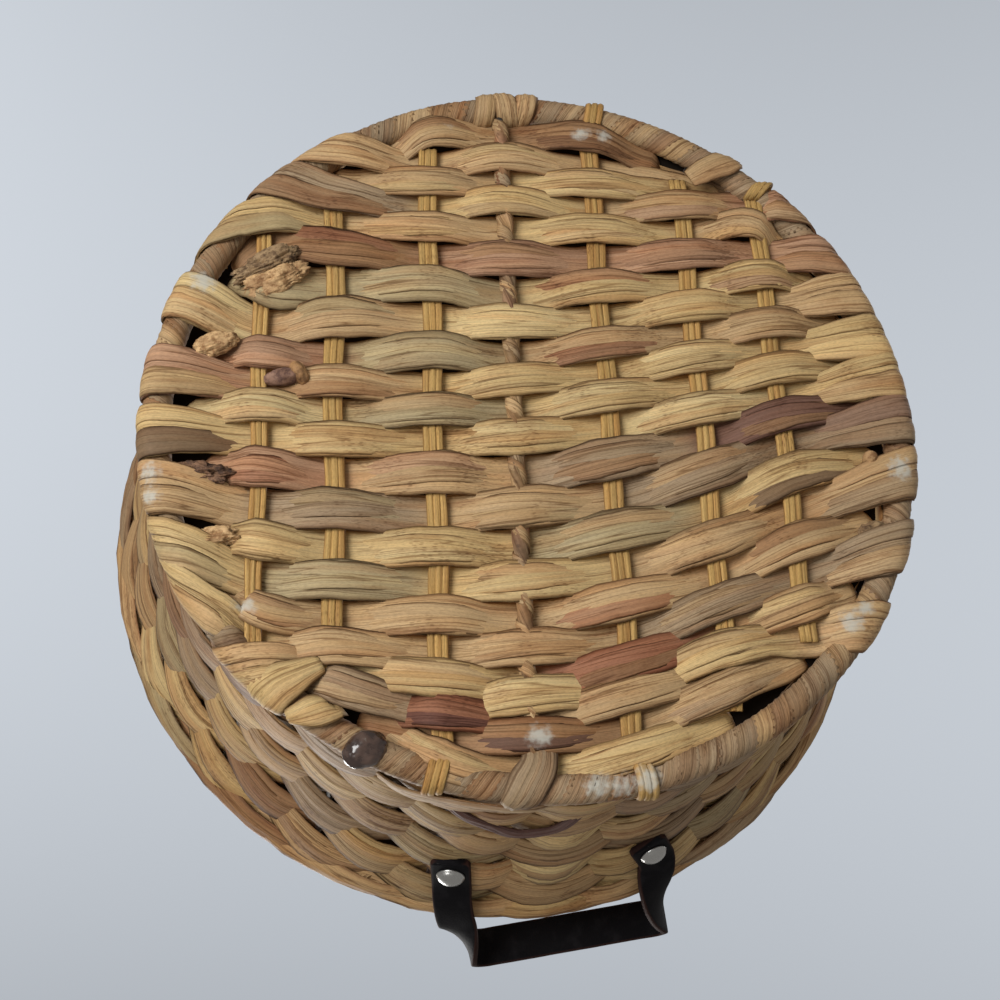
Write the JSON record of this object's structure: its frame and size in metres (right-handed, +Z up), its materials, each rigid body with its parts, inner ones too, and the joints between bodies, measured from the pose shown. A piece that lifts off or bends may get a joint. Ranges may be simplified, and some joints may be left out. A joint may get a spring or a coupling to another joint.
{
  "type": "woven basket",
  "caption": "Round shallow basket of flat plant-fibre strands woven on a welded wire frame, open at the top, with folding leather strap handles.",
  "frame": {"origin": "centre of the base on the ground", "axes": "+Z up through the open top, handles at -Y (front) and +Y (back), X along the handles' fold lines"},
  "size_m": [0.331, 0.3562, 0.1664],
  "materials": {
    "hyacinth": "matt dried water hyacinth strand, straw to olive-brown with reddish and purple-brown patches",
    "hyacinth_binding": "matt dried water hyacinth strand wound round the wires",
    "stake_straw": "matt yellow straw",
    "wire": "dark painted steel wire",
    "leather": "black grained leather with a reddish-brown cut edge",
    "nickel": "satin nickel"
  },
  "bodies": {
    "basket": {"wire_frame": "wire", "base_hoop_wrap": "hyacinth_binding", "rim_hoop_wrap": "hyacinth_binding", "bar_wrap": "hyacinth_binding", "base_stake_1": "stake_straw", "base_stake_2": "stake_straw", "base_stake_3": "stake_straw", "base_stake_4": "stake_straw", "base_stake_5": "stake_straw", "base_stake_6": "stake_straw", "base_strand_01": "hyacinth", "base_strand_02": "hyacinth", "base_strand_03": "hyacinth", "base_strand_04": "hyacinth", "base_strand_05": "hyacinth", "base_strand_06": "hyacinth", "base_strand_07": "hyacinth", "base_strand_08": "hyacinth", "base_strand_09": "hyacinth", "base_strand_10": "hyacinth", "base_strand_11": "hyacinth", "base_strand_12": "hyacinth", "base_strand_13": "hyacinth", "base_strand_14": "hyacinth", "base_strand_15": "hyacinth", "base_strand_16": "hyacinth", "base_strand_17": "hyacinth", "base_strand_18": "hyacinth", "base_strand_19": "hyacinth", "base_strand_20": "hyacinth", "base_strand_21": "hyacinth", "wall_row_1": "hyacinth", "wall_row_2": "hyacinth", "wall_row_3": "hyacinth", "wall_row_4": "hyacinth", "wall_row_5": "hyacinth", "wall_row_6": "hyacinth", "wall_row_7": "hyacinth", "front_left_strap_end": "leather", "front_right_strap_end": "leather", "back_left_strap_end": "leather", "back_right_strap_end": "leather", "front_left_rivet": "nickel", "front_right_rivet": "nickel", "back_left_rivet": "nickel", "back_right_rivet": "nickel", "front_left_rivet_washer": "nickel", "front_right_rivet_washer": "nickel", "back_left_rivet_washer": "nickel", "back_right_rivet_washer": "nickel"},
    "front_handle": {"front_grip": "leather"},
    "back_handle": {"back_grip": "leather"}
  },
  "joints": [
    {"name": "front_handle_fold", "type": "hinge", "parent": "basket", "child": "front_handle", "pos_m": [0, -0.15659, 0.10624], "axis": [1, 0, 0], "range_deg": [0, 100]},
    {"name": "back_handle_fold", "type": "hinge", "parent": "basket", "child": "back_handle", "pos_m": [0, 0.15659, 0.10624], "axis": [-1, 0, 0], "range_deg": [0, 100]}
  ]
}
